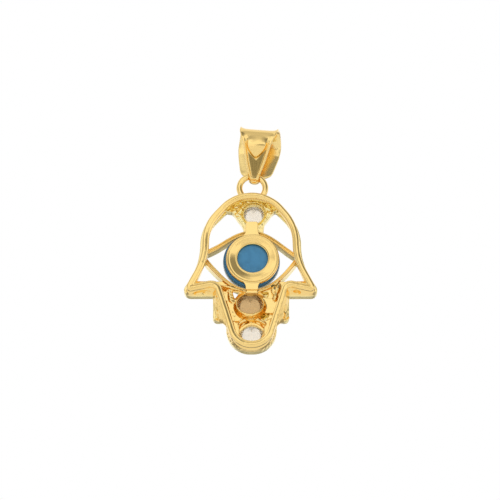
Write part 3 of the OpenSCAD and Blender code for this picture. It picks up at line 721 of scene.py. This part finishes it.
def makeBail():
    b = bail
    at, out = foldLine(b["stepsU"])
    v = np.linspace(-1, 1, b["stepsV"])
    share = -at[:, 1]/b["drop"]
    isFront = smoothStep(at[:, 0], -0.25, 0.25)
    half = [np.interp(share, -np.array(leg["z"]), leg["w"])*w/2
            for leg, w in ((backLeg, b["width"]), (frontLeg, b["frontW"]))]
    width = half[0]*(1 - isFront) + half[1]*isFront
    width = np.convolve(np.pad(width, 6, mode="wrap"), np.ones(13)/13, mode="valid")[:, None]
    v = v[None, :]
    x, z = width*v, at[:, 1:] + 0*width*v
    height, deep = bailHeights(x, z, v, width, isFront[:, None])

    def face(h):
        return np.stack([x, at[:, :1] + out[:, :1]*h, z + out[:, 1:]*h], -1)
    outer, inner = face(height), face(height - deep)
    # The long edges are drawn out by a row halfway down the wall
    last, first = (outer[:, -1:] + inner[:, -1:])/2, (outer[:, :1] + inner[:, :1])/2
    shells = Shells()
    shells.grid(np.concatenate([outer, last + [0.06, 0, 0], inner[:, ::-1], first - [0.06, 0, 0]], axis=1))
    # Turn and lean about the hinge, as the sheet hangs on the loop
    lean, turn = math.radians(b["lean"]), -math.radians(b["turn"])
    about = np.array([[math.cos(turn), -math.sin(turn), 0], [math.sin(turn), math.cos(turn), 0], [0, 0, 1]])
    over = np.array([[math.cos(lean), 0, math.sin(lean)], [0, 1, 0], [-math.sin(lean), 0, math.cos(lean)]])
    own = np.concatenate(shells.points) + [0, 0, b["drop"]]
    placed = (own @ (about @ over).T + [b["aside"], 0, 0])*mm + hinge
    obj = newObject("bail_strip", placed, shells.faces)
    obj.data.shade_smooth()
    print("bail_strip:", len(obj.data.polygons), "faces")
    return obj


bailPiece = makeBail()


# The glass eye: a flat back, a straight edge and a low dome, turned about the y direction
glass = {"d": 6.0, "edge": 0.9, "dome": 1.25, "bevel": 0.22, "bevelT": 0.5}


def makeEye():
    g = glass
    radius, k, deep = g["d"]/2, g["bevel"], g["bevelT"]
    back = (eyeLow.y - handPlace[1])/mm
    domeR = (radius*radius + g["dome"]**2)/(2*g["dome"])
    flat = [(r, back) for r in np.linspace(0, radius - k, 14)]
    bevel = [(radius - k + k*math.sin(t), back + deep - deep*math.cos(t))
             for t in np.linspace(0.2, np.pi/2, 7)]
    top = math.asin(radius/domeR)
    dome = [(domeR*math.sin(t), back + g["edge"] + g["dome"] - domeR*(1 - math.cos(t)))
            for t in np.linspace(top, 0, 26)]
    shells = Shells()
    profile = np.array(flat + bevel + dome)
    a = np.linspace(0, 2*np.pi, 128, endpoint=False)[:, None]
    r, y = profile.T
    shells.grid(np.stack([r*np.cos(a), y + 0*a, r*np.sin(a)], -1), closeV=False)
    obj = newObject("glass_eye", np.concatenate(shells.points)*mm + handPlace, shells.faces)
    mergeAndTurnOut(obj)
    obj.data.shade_smooth()
    return obj


eyePiece = makeEye()
print("glass eye made")


# A round brilliant of 57 facets: rings of points at the table, the stars, both edges of the girdle and the
# lower halves, and the culet
def makeStone(name, stone):
    c = cutting
    radius = stone["d"]/2
    girdleY = handThick - front["stoneSunk"] - c["girdle"]*stone["d"]
    tanC, tanP = math.tan(math.radians(c["crown"])), math.tan(math.radians(c["pavilion"]))
    tableR = c["table"]*radius/math.cos(math.pi/8)
    ringOf = lambda r, y, n, turn: np.stack([r*np.cos(np.arange(n)*2*np.pi/n + turn), np.full(n, y),
                                             r*np.sin(np.arange(n)*2*np.pi/n + turn)], 1)
    step = np.pi/8
    top = girdleY + c["girdle"]*stone["d"]
    tableY = top + (radius - c["table"]*radius)*tanC
    starR = c["table"]*radius + c["star"]*(radius - c["table"]*radius)*0.92
    table = ringOf(tableR, tableY, 8, 0)
    star = ringOf(starR*1.02, top + (radius - starR)*tanC*0.98, 8, step)
    girdleTop = ringOf(radius, top, 16, 0)
    girdleLow = ringOf(radius, girdleY, 16, 0)
    lowR = (1 - c["lowerHalf"])*radius
    low = ringOf(lowR, girdleY - (radius - lowR)*tanP, 8, step)
    culet = np.array([[0, girdleY - radius*tanP*0.985, 0]])
    points = np.vstack([table, star, girdleTop, girdleLow, low, culet])
    # The rings start at points 0, 8, 16, 32, 48 and 56, in that order
    faces = [tuple(range(8))]
    for k in range(8):
        n = (k + 1) % 8
        s0, s1, low0, low1, tip = 8 + k, 8 + n, 48 + k, 48 + n, 56
        g0, g1, g2 = 16 + 2*k, 17 + 2*k, 16 + (2*k + 2) % 16
        f0, f1, f2 = g0 + 16, g1 + 16, g2 + 16
        faces += [(k, s0, n), (s0, g0, g1), (s0, g1, g2), (n, s0, g2), (n, g2, s1)]
        faces += [(g0, f0, f1, g1), (g1, f1, f2, g2), (low0, f1, f0), (low0, f2, f1)]
        faces += [(f2, low0, tip), (f2, tip, low1)]
    points = points + [stone["at"][0], 0, stone["at"][1]]
    obj = newObject(name, points*mm + handPlace, faces)
    mergeAndTurnOut(obj)
    return obj


stonePieces = [makeStone(name + "_brilliant", stone) for name, stone in stones.items()]
print("stones cut")


# Shader maths: a wrapped socket grows Math nodes as it is used in an expression
class Value:
    def __init__(self, finish, socket):
        self.finish, self.socket = finish, socket

    def math(self, operation, *others):
        return self.finish.node("ShaderNodeMath", {"operation": operation}, (self,) + others)

    def __add__(self, other):
        return self.math("ADD", other)

    def __sub__(self, other):
        return self.math("SUBTRACT", other)

    def __rsub__(self, other):
        return self.finish.node("ShaderNodeMath", {"operation": "SUBTRACT"}, (other, self))

    def __mul__(self, other):
        return self.math("MULTIPLY", other)

    def __pow__(self, other):
        return self.math("POWER", other)

    __radd__, __rmul__ = __add__, __mul__


class Finish:
    def __init__(self, name, tree=None):
        if tree is None:
            self.material = bpy.data.materials.new(name)
            self.material.use_nodes = True
            tree = self.material.node_tree
            self.shader = tree.nodes["Principled BSDF"]
        self.tree = tree

    def node(self, kind, settings=None, inputs=(), output=0):
        made = self.tree.nodes.new(kind)
        for key, value in (settings or {}).items():
            setattr(made, key, value)
        pairs = inputs.items() if isinstance(inputs, dict) else enumerate(inputs)
        for key, value in pairs:
            self.feed(made.inputs[key], value)
        return Value(self, made.outputs[output])

    def feed(self, socket, value):
        if isinstance(value, Value):
            self.tree.links.new(value.socket, socket)
        else:
            socket.default_value = value

    def position(self):
        return self.node("ShaderNodeTexCoord", output="Object")

    def axes(self, vector):
        split = self.node("ShaderNodeSeparateXYZ", None, (vector,))
        return [Value(self, split.socket.node.outputs[i]) for i in range(3)]

    def noise(self, vector, scale, detail, roughness=0.5):
        return self.node("ShaderNodeTexNoise", None,
                         {"Vector": vector, "Scale": scale, "Detail": detail, "Roughness": roughness})

    def between(self, value, low, high):
        return self.node("ShaderNodeMapRange", {"interpolation_type": "SMOOTHSTEP"},
                         {"Value": value, "From Min": low, "From Max": high})

    def band(self, value, axis, low, high):
        # The same between two places in the hand's own millimetres
        return self.between(value, handPlace[axis] + low*mm, handPlace[axis] + high*mm)

    def mix(self, factor, one, other):
        # The colour sockets of a mix node are its inputs 6 and 7 and its output 2
        return self.node("ShaderNodeMix", {"data_type": "RGBA"}, {0: factor, 6: one, 7: other}, 2)

    def set(self, **values):
        for key, value in values.items():
            self.feed(self.shader.inputs[key.replace("_", " ")], value)

    def bump(self, height, distance, strength):
        return self.node("ShaderNodeBump", None,
                         {"Height": height, "Distance": distance, "Strength": strength})


# The fourth colour is a paler gold painted where light bounces in recesses: painted light
# The third colour is a painted shade for the bail's channel
goldLook = {"light": (1.0, 0.735, 0.29, 1), "deep": (0.99, 0.69, 0.24, 1), "drawn": (0.33, 0.23, 0.075, 1),
            "inner": (1.0, 0.85, 0.4, 1), "polish": 0.14, "wear": 0.12,
            "castRough": 0.2, "grain": 5200, "bumpMm": 0.006, "channelW": 1.7, "channelSlant": 0.28,
            "shieldTip": 3.42, "shieldSlant": 1.05}


def goldFinish():
    g = goldLook
    f = Finish("polished_gold")
    where = f.position()
    x, y, z = f.axes(where)
    cloud = f.noise(where, 420, 3)
    fine = f.noise(where, g["grain"], 2, 0.6)
    # The bail's channel is painted darker than the rest, a painted shade that stands for a dark reflection:
    # how far in from its slanting sides, as it hangs
    across, down = x - hinge[0] - bail["aside"]*mm, hinge[2] + bail["drop"]*mm - z
    lean = math.tan(math.radians(bail["lean"]))
    across, down = across - (bail["drop"]*mm - down)*lean, down + across*lean
    inside = g["channelW"]*mm - g["channelSlant"]*down - (across*across)**0.5
    foot = down - g["shieldTip"]*mm + (across*across)**0.5*g["shieldSlant"]
    drawn = f.between(inside, -0.02*mm, 0.12*mm)*f.between(foot, -0.05*mm, 0.1*mm)
    drawn = drawn*f.between(down, 5.4*mm, 5.2*mm)*f.between(y, hinge[1] - 0.55*mm, hinge[1] - 0.75*mm)
    # Sunk cast faces lie deeper than the polished rail and stay duller
    sunk = f.band(y, 1, 1.3, 1.7)
    # Between the legs of the bail and on the cast faces light bounces often; the gold is painted paler there,
    # painted light that tempers the orange of those bounces
    legs = f.between(y, hinge[1] + 0.3*mm, hinge[1] + 0.8*mm)*f.between(z, hinge[2] - mm, hinge[2])
    underArch = f.band(y, 1, 0.5, 0.8)*f.band(z, 2, 4, 5)
    pale = (sunk + 0.85*underArch)*f.band(z, 2, 7.4, 7.1) + 0.3*legs
    gold_with_painted_light = f.mix(pale, f.mix(cloud, g["light"], g["deep"]), g["inner"])
    f.set(Base_Color=f.mix(drawn, gold_with_painted_light, g["drawn"]), Metallic=1.0,
          Roughness=cloud*g["wear"] + g["polish"] - g["wear"]/2 + sunk*g["castRough"]*fine)
    f.set(Normal=f.bump(fine*0.6 + cloud, g["bumpMm"]*mm*2, 0.5))
    return f.material


glassLook = {"window": (0.058, 0.268, 0.485, 1), "outer": (0.025, 0.16, 0.31, 1),
             "edge": (0.36, 0.42, 0.47, 1), "navy": (0.01, 0.03, 0.22, 1), "white": (0.85, 0.87, 0.88, 1),
             "iris": (0.12, 0.42, 0.68, 1), "pupil": (0.008, 0.008, 0.012, 1)}


def glassFinish():
    g = glassLook
    f = Finish("blue_eye_glass")
    where = f.position()
    x, y, z = f.axes(where)
    dx, dz = x - handPlace[0], z - handPlace[2]
    r = (dx*dx + dz*dz)**0.5
    mottled = f.noise(where, 1500, 3)
    # Behind: the glue-dulled window, the darker ring round it and the clear edge. In front: eye rings.
    ring = lambda at, soft=0.04: f.between(r, (at - soft)*mm, (at + soft)*mm)
    behind = f.mix(ring(1.62, 0.1), g["window"], g["outer"])
    behind = f.mix(f.between(mottled, 0.35, 0.75)*0.4, behind, g["outer"])
    ahead = f.mix(ring(0.72), g["pupil"], g["iris"])
    ahead = f.mix(ring(1.35), ahead, g["white"])
    ahead = f.mix(ring(2.0), ahead, g["navy"])
    ahead = f.mix(ring(2.86), ahead, g["edge"])
    clear = f.band(y, 1, 1.1, 1.35)*f.between(r, 2.9*mm, 2.96*mm)
    behind = f.mix(clear, behind, g["edge"])
    isAhead = f.band(y, 1, 1.5, 1.6)
    isBack = f.band(y, 1, 0.9, 0.75)
    f.set(Base_Color=f.mix(isAhead, behind, ahead), Roughness=0.12 + 0.3*isBack, IOR=1.5)
    f.set(Normal=f.bump(f.noise(where, 2600, 2), 0.01*mm, 0.5))
    return f.material


# The last two colours are painted shade with a painted reflection of gold, for the middle stone
stoneLook = {"crown": (0.98, 0.98, 0.98, 1), "clean": (1.0, 0.91, 0.74, 1), "dusty": (0.94, 0.76, 0.54, 1),
             "painted_collar_shade": (0.6, 0.28, 0.06, 1), "painted_collar_shade_deep": (0.4, 0.18, 0.045, 1)}


def stoneFinish():
    g = stoneLook
    f = Finish("white_stone")
    where = f.position()
    dust = f.noise(where, 900, 3)
    y, z = f.axes(where)[1:]
    # The middle stone, set deep in its collar, is painted darker: painted shade and a painted reflection of
    # the gold round it
    middle_painted_shade = f.band(z, 2, -3, -3.3)*f.band(z, 2, -6.3, -6.1)
    # Only the pavilions, behind the girdle, carry the dust and the middle stone's painted shade
    pavilion = f.band(y, 1, 2.33, 2.27)
    clean = f.mix(dust, g["clean"], g["dusty"])
    behind = f.mix(middle_painted_shade, clean, f.mix(dust, g["painted_collar_shade"], g["painted_collar_shade_deep"]))
    f.set(Base_Color=f.mix(pavilion, g["crown"], behind), Roughness=0.2 + 0.35*dust*pavilion,
          IOR=1.45, Transmission_Weight=0.9)
    return f.material


looks = {"gold": goldFinish(), "eye_glass": glassFinish(), "white_stone": stoneFinish()}


def dress(obj, slot, body, *nodes):
    obj.data.materials.clear()
    obj.data.materials.append(looks[slot])
    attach(obj, body)
    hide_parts(*nodes)


for piece in goldPieces:
    dress(piece, "gold", "drop", "hand")
dress(bailPiece, "gold", "bail", "bail")
dress(eyePiece, "eye_glass", "drop", "eye_cabochon")
for piece, stone in zip(stonePieces, stones.values()):
    dress(piece, "white_stone", "drop", stone["node"])
print("finishes on")


# A white tent of light, a little dimmer at its sides, with dark flags on the camera's side. A flag is its
# direction, the cosines at which it begins and is full, and the share of light that it takes.
light = {"seen": 1.0, "side": 0.92, "front": 1.06, "keyWatt": 0.018, "keySize": 0.12,
         "flags": [((0.47, -0.62, 0.62), 0.87, 0.96, 0.72),
                   ((0, -0.38, 0.92), 0.9, 0.97, 0.3),
                   ((0.05, -0.995, -0.1), 0.955, 0.985, 0.66),
                   ((-0.5, -0.55, 0.67), 0.87, 0.97, 0.35),
                   ((-0.83, -0.42, 0.37), 0.8, 0.97, 0.4),
                   ((0.86, -0.3, 0.4), 0.84, 0.96, 0.5)]}
# The floor's dark far colour is a painted shade, and its glow is painted light on the near floor
floorLook = {"shade": (0.93, 0.925, 0.92, 1), "pale": (0.96, 0.955, 0.95, 1), "far": (0.3, 0.29, 0.27, 1),
             "farFrom": 0.25, "farTo": 0.42, "glow": 0.14}


def makeLight():
    world = bpy.data.worlds.new("tent")
    bpy.context.scene.world = world
    world.use_nodes = True
    f = Finish("tent", world.node_tree)
    ground = world.node_tree.nodes["Background"]
    facing = f.node("ShaderNodeTexCoord", output="Generated")
    t = math.radians(view["elevation"])
    dot = lambda way: f.node("ShaderNodeVectorMath", {"operation": "DOT_PRODUCT"},
                             (facing, tuple(unit(np.array(way)))), output="Value")
    back = dot((0, math.cos(t), -math.sin(t)))
    glow, ahead = f.between(back, 0.8, 0.93), f.between(back, 0.1, -0.3)
    tent = (glow + ahead)*(light["front"] - light["side"]) + light["side"]
    for way, start, end, depth in light["flags"]:
        tent = tent*(1 - depth*f.between(dot(way), start, end))
    seen = f.node("ShaderNodeLightPath", output="Is Camera Ray")
    f.feed(ground.inputs["Color"], (1, 1, 1, 1))
    f.feed(ground.inputs["Strength"], seen*light["seen"] + (1 - seen)*tent)
    for name, at, watt in (("key", (-0.12, -0.18, 0.16), 1.0), ("rim", (0.2, 0.1, 0.1), 0.5)):
        data = bpy.data.lights.new(name, "AREA")
        data.energy, data.size = light["keyWatt"]*watt, light["keySize"]
        lamp = bpy.data.objects.new(name, data)
        lamp.location = handPlace + np.array(at)
        toward = -np.array(at)
        lamp.rotation_euler = (math.atan2(math.hypot(toward[0], toward[1]), -toward[2]), 0,
                               math.atan2(-toward[0], toward[1]))
        bpy.context.scene.collection.objects.link(lamp)
    g = floorLook
    floor = Finish("pale_floor")
    where = floor.position()
    pale = floor.mix(floor.noise(where, 6, 3), g["shade"], g["pale"])
    far = floor.between(floor.axes(where)[1], g["farFrom"], g["farTo"])
    # Far off the floor's colour turns dark, a painted shade; nearer it glows with painted light
    floor.set(Base_Color=floor.mix(far, pale, g["far"]), Roughness=0.6,
              Emission_Color=floor.mix(far, (1, 1, 1, 1), (0, 0, 0, 1)), Emission_Strength=g["glow"])
    a = np.linspace(0, 2*np.pi, 64, endpoint=False)
    drop = handPlace[2] - view["floorBelow"]
    r = view["floorRadius"]
    disc = newObject("floor", np.stack([r*np.cos(a), r*np.sin(a), np.full(64, drop)], 1), [tuple(range(64))])
    disc.data.materials.append(floor.material)


makeLight()
scene = bpy.context.scene
scene.view_settings.view_transform = "Standard"
scene.cycles.max_bounces = 14
scene.cycles.glossy_bounces = 5
scene.cycles.transmission_bounces = 12
print("light and floor set")
